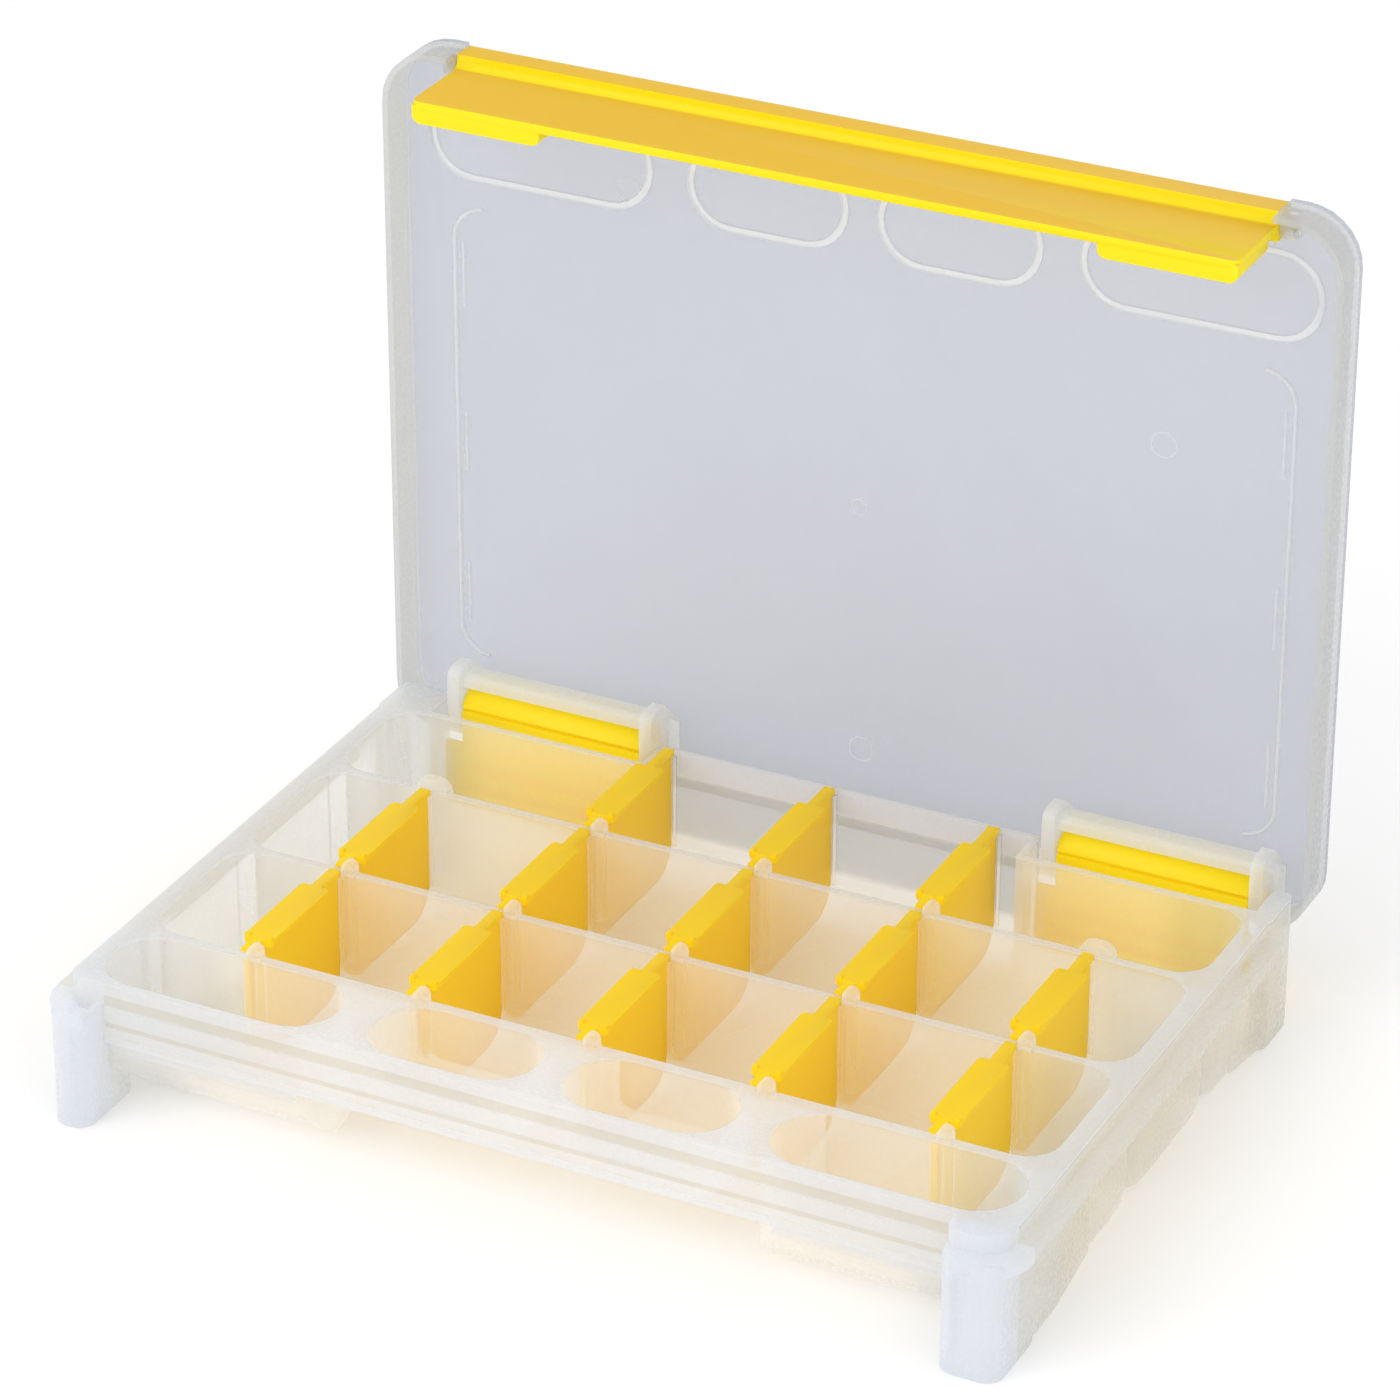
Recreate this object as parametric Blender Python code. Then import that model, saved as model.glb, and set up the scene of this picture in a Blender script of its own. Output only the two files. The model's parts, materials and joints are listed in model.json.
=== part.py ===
"""Compartment box: a moulded tray, a hinged lid with a snap latch, two hinge leaves and thirteen dividers.

The box stands on z = 0 with its lid open at a right angle. +X is to the right seen from the front,
+Y points to the hinges and +Z is up. Lengths are in metres.
"""
import math

import bmesh
import bpy
from mathutils import Matrix, Vector

# Driving dimensions.
RIM_Z = 0.0380             # height of the tray's rim above the ground
MIDDLE_Y = 0.01085         # wall between the second and the third row
ROW_PITCH = 0.0480         # from one row wall to the next
COLUMN_PITCH = 0.0477      # from one divider slot to the next
WALL = 0.0018              # row walls
SKIN = 0.0016              # outer walls and floor
GAP = 0.0003               # clearance between two pieces
OVER = 0.0100              # how far a cutter runs past the solid
LAP = 0.0010               # how far one solid runs into the next
OFFSET = 0.0003            # keeps two faces of joined solids out of one plane
SHARP_DEG = 30             # edges sharper than this are shaded sharp

# Tray.
INNER_HALF = 0.1248                # inner face of the side walls
INNER_CORNER_R = 0.0008            # corners inside the posts and under the rim
BODY_HALF = 0.1278                 # outer face of the side walls
RIM_HALF = 0.1298
RIM_R = 0.0030                     # upright corners of the rim
RIM_FRONT_R = 0.0075               # its two front corners
FLANGE_HALF = 0.1340
FLANGE_TOP = RIM_Z - 0.0050
FLANGE_THICK = 0.0044
FLANGE_R = 0.0120
FLANGE_REAR = MIDDLE_Y + 0.0590
FRONT_Y = MIDDLE_Y - 0.1110        # front of the corner flanges
CORNER_RIM_Y = MIDDLE_Y - 0.1070   # front of the rim on the corner posts
MID_FRONT_Y = MIDDLE_Y - 0.1000    # front of the rim between the corner posts
LIP_DEPTH = 0.0170                 # the front wall hangs this far down
LIP_THICK = 0.0024
CATCH_Y = MIDDLE_Y - 0.1005        # nose of the ledge that the latch snaps over
POST_OUTER = 0.1304
FRONT_POSTS = ((-POST_OUTER, -0.1200), (0.1142, POST_OUTER))
POST_FRONT = FRONT_Y + 0.0002
POST_BACK = MIDDLE_Y - 0.0860
POST_R = 0.0045
REAR_POST_R = 0.0024
POST_INTO_ROW = 0.0030             # the rear posts start this far inside the rear row's wall
FRONT_PANEL = ((BODY_HALF, MIDDLE_Y - 0.0500), (POST_OUTER, MIDDLE_Y - 0.0760), (POST_OUTER, POST_BACK - 0.0080))
REAR_PANEL = ((BODY_HALF, MIDDLE_Y + 0.0420), (POST_OUTER, MIDDLE_Y + 0.0600), (POST_OUTER, MIDDLE_Y + 0.0660))
REAR_Y = MIDDLE_Y + 0.0752         # back of the rear posts
MID_REAR_Y = MIDDLE_Y + 0.0720     # inner face of the rear wall between the hinges
RECESS_Y = MIDDLE_Y + 0.0610       # inner face of the rear wall in front of each hinge
RECESSES = ((-0.1160, -0.0512), (0.0602, 0.1250))
CORNER_R = 0.0090                  # upright corners of a row
FLOOR_R = 0.0080                   # floor fillets of a row
KEEL_R = 0.0096                    # the same fillets outside
POCKET_Y = (MIDDLE_Y - 0.0985, MIDDLE_Y - 0.0735)
POCKET_R = 0.0120
POCKET_FLOOR_R = 0.0090
OUTER_POCKET_X = (0.0600, 0.1256)
INNER_POCKET_X = (0.0040, 0.0500)
INNER_POCKET_DEPTH = 0.0202
SCOOP_R = 0.0240                   # rounded front of the two deep pockets

# Slots for the dividers.
RIB_WIDTH = 0.0012
RIB_DEPTH = 0.0013
SLOT_WIDTH = 0.0020
RIB_FOOT = 0.0095                  # the ribs end this far above the ground
PIP_WIDTH = 0.0036
PIP_HEIGHT = 0.0035
PIP_FOOT = 0.0260                  # the nubs run down the wall as a low rib
PIP_PROUD = 0.0006
LUG_WIDTH = 0.0095                 # the pips in front of the hinges are wider

# Dividers.
BLADE_THICK = 0.0014
BAR_WIDTH = 0.0083
BAR_THICK = 0.0018
BAR_LENGTH = 0.0300
NECK_WIDTH = 0.0030
FRONT_NECK = 0.0055
BAR_TOP = RIM_Z + 0.0008
NUB = (0.0017, 0.0016, 0.0006)     # grips on the bar's front corners

# Hinges: the axis that the lid turns about, and the rolls that carry the pins.
HINGE_Y = MIDDLE_Y + 0.0773
HINGE_Z = RIM_Z - 0.0036
ROLL_R = 0.0066
ROLLS = ((-0.1105, -0.0563), (0.0659, 0.1196))
PIN_R = 0.0018
PIN_HOLE_R = 0.0022
PIN_REACH = 0.0028
LEAF_FRONT = MIDDLE_Y + 0.0706
LEAF_THICK = 0.0018
LEAF_TOP = RIM_Z - 0.0021
LEAF_FOOT = RIM_Z - 0.0320
BAND_COUNT = 3                     # low broad bands across the leaf
BAND_PITCH = 0.0060
BAND_HEIGHT = 0.0032
BAND_DEPTH = 0.0018
BAND_FOOT = LEAF_FOOT + 0.0030
CREASE_DEPTH = 0.0013              # groove between the roll and the leaf
CREASE_HEIGHT = 0.0008
LEAF_SHOULDER = RIM_Z - 0.0130     # the leaf is wider below this, where the grooves hold it
GUIDE_REACH = 0.0030
GUIDE_THICK = 0.0014
GUIDE_TOP = RIM_Z - 0.0140

# Lid, standing open behind the tray.
LID_HALF = 0.1339
LID_BACK = MIDDLE_Y + 0.0893       # outer face of the lid's panel
LID_EDGE = MIDDLE_Y + 0.0763       # edge of its skirt
LID_BOTTOM = RIM_Z - 0.0130
LID_TOP = RIM_Z + 0.1852
LID_TOP_R = 0.0150
LID_BOTTOM_R = 0.0130
CHEEK_THICK = 0.0036
CHEEK_R = 0.0075
CHEEK_GAP = 0.0004
CHEEK_TOP = RIM_Z + 0.0098
CHEEK_CORNER_R = 0.0030
KNEE_Y = HINGE_Y + 0.0007          # behind this the housings slope down to the panel
CANOPY_FRONT = HINGE_Y - 0.0051    # the strip over each roll
CANOPY_LOW = HINGE_Z + ROLL_R + 0.0010
CANOPY_HEIGHT = 0.0039
CANOPY_R = 0.0020
RING_DEPTH = 0.0012
RING_BAND = 0.0018

# Latch.
LATCH_HALF = 0.1142
LATCH_Y = MIDDLE_Y + 0.0851        # latch axis
LATCH_Z = RIM_Z + 0.1805
LATCH_GAP = 0.0005
LATCH_CHEEK_R = 0.0039
LATCH_CORNER_R = 0.0015
SPINE_R = 0.0041
SPINE_FRONT = LATCH_Y - 0.0034
SPINE_FILLET = 0.0024
SPINE_CORNER = 0.0007
FLAP_HALF = 0.1139
FLAP_EDGE = MIDDLE_Y + 0.0562      # free edge of the flap
FLAP_TOP = LATCH_Z + 0.0005
FLAP_THICK = 0.0021
FLAP_R = 0.0022                    # corners of its free edge
TAB_THICK = 0.0060                 # the flap's ends are thicker
TAB_BACK = MIDDLE_Y + 0.0765
TAB_INNER = 0.0770

MATERIALS = {
    "clear": ((0.80, 0.83, 0.88, 1.0), 0.25),
    "yellow": ((0.98, 0.62, 0.02, 1.0), 0.35),
}


# ---- scene helpers -------------------------------------------------------------------------------

def clear_scene():
    for obj in list(bpy.data.objects):
        bpy.data.objects.remove(obj, do_unlink=True)


def make_collection(name):
    collection = bpy.data.collections.new(name)
    bpy.context.scene.collection.children.link(collection)
    return collection


def make_material(name):
    color, roughness = MATERIALS[name]
    material = bpy.data.materials.new(name)
    material.use_nodes = True
    shader = material.node_tree.nodes["Principled BSDF"]
    shader.inputs["Base Color"].default_value = color
    shader.inputs["Roughness"].default_value = roughness
    shader.inputs["Metallic"].default_value = 0.0
    return material


def link_mesh(bm, name, collection):
    bm.normal_update()
    bmesh.ops.recalc_face_normals(bm, faces=bm.faces)
    mesh = bpy.data.meshes.new(name)
    bm.to_mesh(mesh)
    bm.free()
    obj = bpy.data.objects.new(name, mesh)
    collection.objects.link(obj)
    return obj


def combine(target, tool, operation):
    modifier = target.modifiers.new(tool.name, "BOOLEAN")
    modifier.operation = operation
    modifier.object = tool
    modifier.solver = "EXACT"


def bake(obj):
    """Apply an object's modifiers to its mesh."""
    bpy.context.view_layer.update()
    depsgraph = bpy.context.evaluated_depsgraph_get()
    mesh = bpy.data.meshes.new_from_object(obj.evaluated_get(depsgraph))
    obj.modifiers.clear()
    obj.data = mesh


def join_solids(name, solids, cuts, collection):
    """One object: the union of the solids less the cuts. The tools are removed afterwards."""
    base = solids[0]
    base.name = name
    for solid in solids[1:]:
        combine(base, solid, "UNION")
    bake(base)
    for cut in cuts:
        combine(base, cut, "DIFFERENCE")
    bake(base)
    for tool in solids[1:] + cuts:
        bpy.data.objects.remove(tool, do_unlink=True)
    TOOLS.objects.unlink(base)
    collection.objects.link(base)
    base.data.name = name
    return base


# ---- solids --------------------------------------------------------------------------------------

def cube_mesh(low, high):
    bm = bmesh.new()
    bmesh.ops.create_cube(bm, size=1.0)
    for vert in bm.verts:
        for axis in range(3):
            vert.co[axis] = low[axis] if vert.co[axis] < 0 else high[axis]
    return bm


def box(low, high):
    return link_mesh(cube_mesh(low, high), "box", TOOLS)


def is_upright(edge):
    a, b = edge.verts
    return abs(a.co.x - b.co.x) + abs(a.co.y - b.co.y) < 1e-7


def is_low(edge, level):
    return all(abs(vert.co.z - level) < 1e-7 for vert in edge.verts)


def bevel(bm, edges, radius, segments):
    bmesh.ops.bevel(bm, geom=edges, offset=radius, segments=segments, profile=0.5, affect="EDGES")


def tub(low, high, corner, floor, steps=5):
    """A box with rounded upright corners and a rounded lower edge."""
    bm = cube_mesh(low, high)
    bevel(bm, [edge for edge in bm.edges if is_upright(edge)], corner, steps)
    if floor:
        bevel(bm, [edge for edge in bm.edges if is_low(edge, low[2])], floor, steps)
    return link_mesh(bm, "tub", TOOLS)


def hull(low, high, keel, side, steps=6):
    """A box whose two long lower edges have radius keel and whose ends are rounded by side."""
    bm = cube_mesh(low, high)
    along = [edge for edge in bm.edges
             if is_low(edge, low[2]) and abs(edge.verts[0].co.y - edge.verts[1].co.y) < 1e-7]
    bevel(bm, along, keel, steps)
    ends = [edge for edge in bm.edges
            if any(all(abs(vert.co.x - x) < 1e-7 for vert in edge.verts) for x in (low[0], high[0]))
            and not is_low(edge, high[2])]
    bevel(bm, ends, side, 4)
    return link_mesh(bm, "hull", TOOLS)


def prism(outline, axis, start, end):
    """A filled outline with a thickness. axis is X (outline in y, z), Y (x, z) or Z (x, y)."""
    curve = bpy.data.curves.new("prism", "CURVE")
    curve.dimensions = "2D"
    curve.fill_mode = "BOTH"
    curve.extrude = (end - start) / 2
    spline = curve.splines.new("POLY")
    spline.points.add(len(outline) - 1)
    for point, (u, v) in zip(spline.points, outline):
        point.co = (u, v, 0.0, 1.0)
    spline.use_cyclic_u = True
    flat = bpy.data.objects.new("prism", curve)
    TOOLS.objects.link(flat)
    bpy.context.view_layer.update()
    mesh = bpy.data.meshes.new_from_object(flat.evaluated_get(bpy.context.evaluated_depsgraph_get()))
    bpy.data.objects.remove(flat, do_unlink=True)
    bm = bmesh.new()
    bm.from_mesh(mesh)
    bpy.data.meshes.remove(mesh)
    bmesh.ops.remove_doubles(bm, verts=bm.verts, dist=1e-6)
    bmesh.ops.dissolve_limit(bm, angle_limit=0.001, verts=bm.verts, edges=bm.edges)
    middle = (start + end) / 2
    for vert in bm.verts:
        u, v, w = vert.co.x, vert.co.y, vert.co.z + middle
        vert.co = {"X": (w, u, v), "Y": (u, w, v), "Z": (u, v, w)}[axis]
    return link_mesh(bm, "prism", TOOLS)


def arc(centre, radius, first, last, steps):
    """Points of an arc, with its angles in degrees."""
    points = []
    for i in range(steps + 1):
        angle = math.radians(first + (last - first) * i / steps)
        points.append((centre[0] + radius * math.cos(angle), centre[1] + radius * math.sin(angle)))
    return points


def rounded_rectangle(low, high, radii, steps=6):
    """Outline with a radius for each corner: low left, low right, high right, high left."""
    corners = [(low[0], low[1], 180), (high[0], low[1], 270), (high[0], high[1], 0), (low[0], high[1], 90)]
    points = []
    for (u, v, first), radius in zip(corners, radii):
        centre = (u + radius if u == low[0] else u - radius, v + radius if v == low[1] else v - radius)
        points += arc(centre, radius, first, first + 90, steps)
    return points


def rod(centre, radius, x0, x1, sides=24):
    """A cylinder along X, centred on (y, z)."""
    bm = bmesh.new()
    bmesh.ops.create_cone(bm, cap_ends=True, segments=sides, radius1=radius, radius2=radius, depth=x1 - x0)
    lie_down = Matrix.Rotation(math.radians(90), 4, "Y")
    move = Matrix.Translation(((x0 + x1) / 2, centre[0], centre[1]))
    bmesh.ops.transform(bm, matrix=move @ lie_down, verts=bm.verts)
    return link_mesh(bm, "rod", TOOLS)


def mirrored(make, *spans):
    """Make a solid on the right and again on the left, from x spans given on the right."""
    solids = [make(*spans)]
    flipped = [(-span[1], -span[0]) for span in spans]
    return solids + [make(*flipped)]


# ---- tray ----------------------------------------------------------------------------------------

def row_span(row):
    """Inner y range of row 0, 1 or 2, counted from the back."""
    rear = MIDDLE_Y + (1.5 - row) * ROW_PITCH
    if row == 0:
        return rear - ROW_PITCH + WALL / 2, MID_REAR_Y
    return rear - ROW_PITCH + WALL / 2, rear - WALL / 2


def middle_span(grow):
    """x range of the deeper middle section of the back row."""
    return RECESSES[0][1] + SKIN - grow, RECESSES[1][0] - SKIN + grow


def row_shells():
    solids = []
    for row in range(3):
        y0, y1 = row_span(row)
        if row == 0:
            x0, x1 = middle_span(SKIN)
            solids.append(hull((x0, y0 + KEEL_R, 0.0), (x1, y1 + SKIN, RIM_Z), KEEL_R, 0.0010))
            y1 = RECESS_Y
        solids.append(hull((-BODY_HALF, y0 - SKIN, 0.0), (BODY_HALF, y1 + SKIN, RIM_Z), KEEL_R, 0.0045))
    return solids


def row_hollows():
    cuts = []
    for row in range(3):
        y0, y1 = row_span(row)
        if row == 0:
            x0, x1 = middle_span(0.0)
            cuts.append(hull((x0, y0 + FLOOR_R, SKIN), (x1, y1, RIM_Z + OVER), FLOOR_R, 0.0003))
            y1 = RECESS_Y
        cuts.append(tub((-INNER_HALF, y0, SKIN), (INNER_HALF, y1, RIM_Z + OVER), CORNER_R, FLOOR_R))
    return cuts


def pocket_shell(span, depth, grow, scoop):
    """One front pocket, larger by grow on every side. scoop rounds its front lower edge."""
    low = (span[0] - grow, POCKET_Y[0] - grow, RIM_Z - depth - grow)
    high = (span[1] + grow, POCKET_Y[1] + grow, RIM_Z + (OVER if grow == 0 else 0.0))
    solid = tub(low, high, POCKET_R + grow * 0.9, POCKET_FLOOR_R + grow * 0.9, 6)
    if scoop:
        radius = SCOOP_R + grow
        outline = [(low[1] - OVER, low[2] - OVER), (low[1] + radius, low[2] - OVER)]
        outline += arc((low[1] + radius, low[2] + radius), radius, 269, 181, 10)
        outline += [(low[1] - OVER, low[2] + radius)]
        waste = prism(outline, "X", low[0] - OVER, high[0] + OVER)
        combine(solid, waste, "DIFFERENCE")
        bake(solid)
        bpy.data.objects.remove(waste, do_unlink=True)
    return solid


def pockets(grow):
    deep = RIM_Z - SKIN
    solids = mirrored(lambda span: pocket_shell(span, deep, grow, True), OUTER_POCKET_X)
    solids += mirrored(lambda span: pocket_shell(span, INNER_POCKET_DEPTH, grow, False), INNER_POCKET_X)
    return solids


def open_below(low, high, radii, roof=SKIN):
    """A thin-walled block, open on its underside and roofed or not. radii round its upright corners."""
    block = prism(rounded_rectangle(low[:2], high[:2], radii, 5), "Z", low[2], high[2])
    inner_low = (low[0] + SKIN, low[1] + SKIN)
    inner_high = (high[0] - SKIN, high[1] - SKIN)
    inner_radii = [max(radius - SKIN, INNER_CORNER_R) for radius in radii]
    outline = rounded_rectangle(inner_low, inner_high, inner_radii, 5)
    return join_solids("block", [block], [prism(outline, "Z", low[2] - OVER, high[2] - roof)], TOOLS)


def flange(sign, inner_front):
    """Ledge along one side that the lid's skirt closes on, wrapped round the front corner."""
    side = sign * (RIM_HALF - LAP)
    front = CORNER_RIM_Y + LAP
    outline = [(side, FLANGE_REAR), (sign * FLANGE_HALF, FLANGE_REAR)]
    bend = arc((FLANGE_HALF - FLANGE_R, FRONT_Y + FLANGE_R), FLANGE_R, 0, -90, 6)
    outline += [(sign * u, v) for u, v in bend]
    radius = min(POST_R, FLANGE_HALF - FLANGE_R - abs(inner_front))
    bend = arc((abs(inner_front) + radius, FRONT_Y + radius), radius, -90, -180, 5)
    outline += [(sign * u, v) for u, v in bend]
    outline += [(inner_front, front)]
    outline += [(side - sign * (RIM_FRONT_R - 2 * LAP), front), (side, front + RIM_FRONT_R - 2 * LAP)]
    return prism(outline, "Z", FLANGE_TOP - FLANGE_THICK, FLANGE_TOP)


def corner_block(sign, post, base):
    """The rim on top of one front post, rounded at the box's corner."""
    x0, x1 = sorted(((post[1] if sign < 0 else post[0]) + sign * OFFSET, sign * RIM_HALF))
    left, right = (RIM_FRONT_R, RIM_R) if sign < 0 else (RIM_R, RIM_FRONT_R)
    return open_below((x0, CORNER_RIM_Y, base), (x1, POST_BACK, RIM_Z), (left, right, RIM_R, RIM_R))


def front_lip():
    """The wall that hangs from the rim between the posts, with the ledges that the latch snaps over."""
    x0, x1 = FRONT_POSTS[0][1] - LAP, FRONT_POSTS[1][0] + LAP
    back = MID_FRONT_Y + LIP_THICK
    foot = RIM_Z - LIP_DEPTH
    solids = [box((x0, MID_FRONT_Y - 0.0002, foot), (x1, back - 0.0001, RIM_Z - LAP))]
    solids.append(box((x0, CATCH_Y, RIM_Z - 0.0110), (x1, back - 0.0002, RIM_Z - 0.0070)))
    solids.append(box((x0, CATCH_Y, foot - 0.0004), (x1, back + 0.0002, foot + 0.0018)))
    return solids


def rim_solids():
    """The top skin with its upstand, the corner blocks, the flanges and the stepped front lip."""
    base = FLANGE_TOP - FLANGE_THICK + OFFSET
    solids = [open_below((-RIM_HALF, MID_FRONT_Y, base), (RIM_HALF, RECESS_Y + SKIN, RIM_Z), (RIM_R,) * 4)]
    for sign, post in zip((-1, 1), FRONT_POSTS):
        solids.append(corner_block(sign, post, base + OFFSET))
        inner = post[1] if sign < 0 else post[0]
        solids.append(flange(sign, inner + sign * 2 * OFFSET))
    return solids + front_lip()


def side_panel(sign, outline):
    """A thin upright panel beside a post, given by the outer face's points from the body outwards."""
    inner = [(u - SKIN, v) for u, v in reversed(outline)]
    return prism([(sign * u, v) for u, v in list(outline) + inner], "Z", SKIN, FLANGE_TOP - LAP)


def post_solids():
    """The four corner posts, each with a panel that runs from it into the tray's side wall."""
    solids = []
    for sign, post, recess in zip((-1, 1), FRONT_POSTS, RECESSES):
        low, high = (post[0], POST_FRONT, 0.0), (post[1], POST_BACK, FLANGE_TOP - LAP)
        solids.append(open_below(low, high, (POST_R,) * 4, -OVER))
        solids.append(side_panel(sign, FRONT_PANEL))
        edge = recess[0] if sign < 0 else recess[1]
        x0, x1 = sorted((edge, sign * POST_OUTER))
        low, high = (x0, RECESS_Y - POST_INTO_ROW, 0.0), (x1, REAR_Y, RIM_Z)
        solids.append(open_below(low, high, (REAR_POST_R,) * 4))
        solids.append(side_panel(sign, REAR_PANEL))
    return solids


def slot_columns(row):
    count = 1 if row == 0 else 2
    return [column * COLUMN_PITCH for column in range(-count, count + 1)]


def slot_ribs():
    """Two ribs on each facing wall hold a divider. The right-hand rib ends in a rounded pip."""
    solids = []
    for row in range(3):
        y0, y1 = row_span(row)
        for x in slot_columns(row):
            for side in (-1, 1):
                inner = x + side * SLOT_WIDTH / 2
                outer = inner + side * RIB_WIDTH
                span = (min(inner, outer), max(inner, outer))
                for wall, into in ((y0, 1), (y1, -1)):
                    ends = sorted((wall - into * 0.0006, wall + into * RIB_DEPTH))
                    low = (span[0], ends[0], RIB_FOOT)
                    solids.append(box(low, (span[1], ends[1], BAR_TOP - BAR_THICK - GAP)))
    return solids


def pip(x, y, width, front, back):
    """A nub with a rounded top on a wall, standing proud of the wall by front and back."""
    radius = min(width / 2, PIP_HEIGHT) - OFFSET / 10
    outline = rounded_rectangle((x - width / 2, RIM_Z - PIP_FOOT), (x + width / 2, RIM_Z + PIP_HEIGHT),
                                (0.0, 0.0, radius, radius), 4)
    return prism(outline, "Y", y - WALL / 2 - front, y + WALL / 2 + back)


def pips():
    """Nubs on the walls' tops, one beside each slot, and two wider ones in front of the hinges."""
    offset = SLOT_WIDTH / 2 + PIP_WIDTH / 2 + 0.0008
    wall_y = [MIDDLE_Y + (0.5 - line) * ROW_PITCH for line in range(3)]
    columns = slot_columns(1)
    ends = (columns[0], columns[-1])
    spots = [(x, y) for y in wall_y for x in columns if y != wall_y[0] or x not in ends]
    solids = [pip(x + offset, y, PIP_WIDTH, PIP_PROUD, PIP_PROUD) for x, y in spots]
    return solids + [pip(x + offset / 2, wall_y[0], LUG_WIDTH, -OFFSET / 3, 2 * PIP_PROUD) for x in ends]


def leaf_guides():
    """Upright lips at both sides of each recess. Each pair makes a groove for the hinge leaf's edge."""
    solids = []
    for x0, x1 in RECESSES:
        for edge, into in ((x0, 1), (x1, -1)):
            span = sorted((edge - into * 0.0010, edge + into * GUIDE_REACH))
            for y in (LEAF_FRONT - GAP - GUIDE_THICK, LEAF_FRONT + LEAF_THICK + GAP):
                low = (span[0], y, LEAF_FOOT - 0.0020)
                solids.append(box(low, (span[1], y + GUIDE_THICK, GUIDE_TOP)))
    return solids


def build_tray(collection):
    solids = rim_solids() + row_shells() + pockets(SKIN) + post_solids()
    shell = join_solids("tray_shell", solids, row_hollows() + pockets(0.0), TOOLS)
    return join_solids("tray", [shell] + slot_ribs() + pips() + leaf_guides(), [], collection)


# ---- hinges --------------------------------------------------------------------------------------

def build_hinge(collection, name, roll, recess):
    """A roll with a pin at each end, and the leaf below it that slides down into the tray."""
    axis = (HINGE_Y, HINGE_Z)
    leaf_back = LEAF_FRONT + LEAF_THICK
    solids = [rod(axis, ROLL_R, roll[0], roll[1])]
    solids.append(box((recess[0] + GAP, LEAF_FRONT, LEAF_FOOT), (recess[1] - GAP, leaf_back, LEAF_SHOULDER)))
    solids.append(box((roll[0], LEAF_FRONT, LEAF_SHOULDER - LAP), (roll[1], leaf_back, LEAF_TOP)))
    for i in range(BAND_COUNT):
        z = BAND_FOOT + BAND_PITCH * i
        low = (roll[0] + GAP, LEAF_FRONT - BAND_DEPTH, z)
        solids.append(box(low, (roll[1] - GAP, LEAF_FRONT + LEAF_THICK / 2, z + BAND_HEIGHT)))
    solids.append(rod(axis, PIN_R, roll[0] - PIN_REACH, roll[1] + PIN_REACH, 16))
    crease_low = (roll[0] - LAP, LEAF_FRONT - LAP, LEAF_TOP - CREASE_HEIGHT / 2)
    crease = box(crease_low, (roll[1] + LAP, LEAF_FRONT + CREASE_DEPTH, LEAF_TOP + CREASE_HEIGHT / 2))
    return join_solids(name, solids, [crease], collection)


# ---- lid -----------------------------------------------------------------------------------------

def lid_outline(inset):
    low = (-LID_HALF + inset, LID_BOTTOM + inset)
    high = (LID_HALF - inset, LID_TOP - inset)
    radii = (LID_BOTTOM_R - inset, LID_BOTTOM_R - inset, LID_TOP_R - inset, LID_TOP_R - inset)
    return rounded_rectangle(low, high, radii, 7)


def cheek(x0, x1, centre, reach, top, corner):
    """A plate across X, rounded about a pin's axis and running back into the lid's panel."""
    y, z = centre
    back = LID_BACK - LAP
    knee = y + KNEE_Y - HINGE_Y
    slope = min(back - knee, top - z)
    outline = [(back, top - slope), (knee, top)] + arc((y - reach + corner, top - corner), corner, 90, 180, 4)
    outline += arc((y, z), reach, 180, 270, 6) + [(back, z - reach)]
    return prism(outline, "X", x0, x1)


def canopy(x0, x1):
    """A strip in front of a roll's top, bent back and down into the lid's panel."""
    back = LID_BACK - LAP / 2
    top = CANOPY_LOW + CANOPY_HEIGHT
    under = top - SKIN
    inner = CANOPY_FRONT + SKIN
    drop = back - KNEE_Y
    outline = [(CANOPY_FRONT, CANOPY_LOW), (inner, CANOPY_LOW), (inner, under), (KNEE_Y, under)]
    outline += [(back, under - drop), (back, top - drop), (KNEE_Y, top)]
    outline += arc((CANOPY_FRONT + CANOPY_R, top - CANOPY_R), CANOPY_R, 90, 180, 4)
    return prism(outline, "X", x0, x1)


def stadium(x0, x1, z0, z1, steps=6):
    radius = (z1 - z0) / 2
    return rounded_rectangle((x0, z0), (x1, z1), (radius - 1e-5,) * 4, steps)


def lid_rings():
    """Raised stadium rings over the four front pockets."""
    solids = []
    cuts = []
    face = LID_BACK - SKIN
    z0 = HINGE_Z + HINGE_Y - POCKET_Y[1]
    z1 = HINGE_Z + HINGE_Y - POCKET_Y[0]
    for span in (INNER_POCKET_X, OUTER_POCKET_X):
        for sign in (-1, 1):
            x0, x1 = sorted((sign * span[0], sign * span[1]))
            solids.append(prism(stadium(x0, x1, z0, z1), "Y", face - RING_DEPTH, face + 0.0005))
            inner = stadium(x0 + RING_BAND, x1 - RING_BAND, z0 + RING_BAND, z1 - RING_BAND)
            cuts.append(prism(inner, "Y", face - RING_DEPTH - 0.0010, face))
    return solids, cuts


def lid_shell():
    """The panel with its skirt, notched for the latch and, in the skirt, for the two rolls."""
    panel = prism(lid_outline(0.0), "Y", LID_EDGE, LID_BACK)
    cuts = [prism(lid_outline(SKIN), "Y", LID_EDGE - OVER, LID_BACK - SKIN)]
    notch = LATCH_HALF + LATCH_GAP
    low = (-notch, LID_EDGE - OVER, LATCH_Z - SPINE_R - LAP)
    cuts.append(box(low, (notch, LID_BACK + OVER, LID_TOP + OVER)))
    for x0, x1 in ROLLS:
        low = (x0 - CHEEK_GAP, LID_EDGE - OVER, LID_BOTTOM - OVER)
        cuts.append(box(low, (x1 + CHEEK_GAP, LID_BACK - SKIN - 0.0002, LID_BOTTOM + SKIN + LAP)))
    return join_solids("lid_shell", [panel], cuts, TOOLS)


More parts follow.
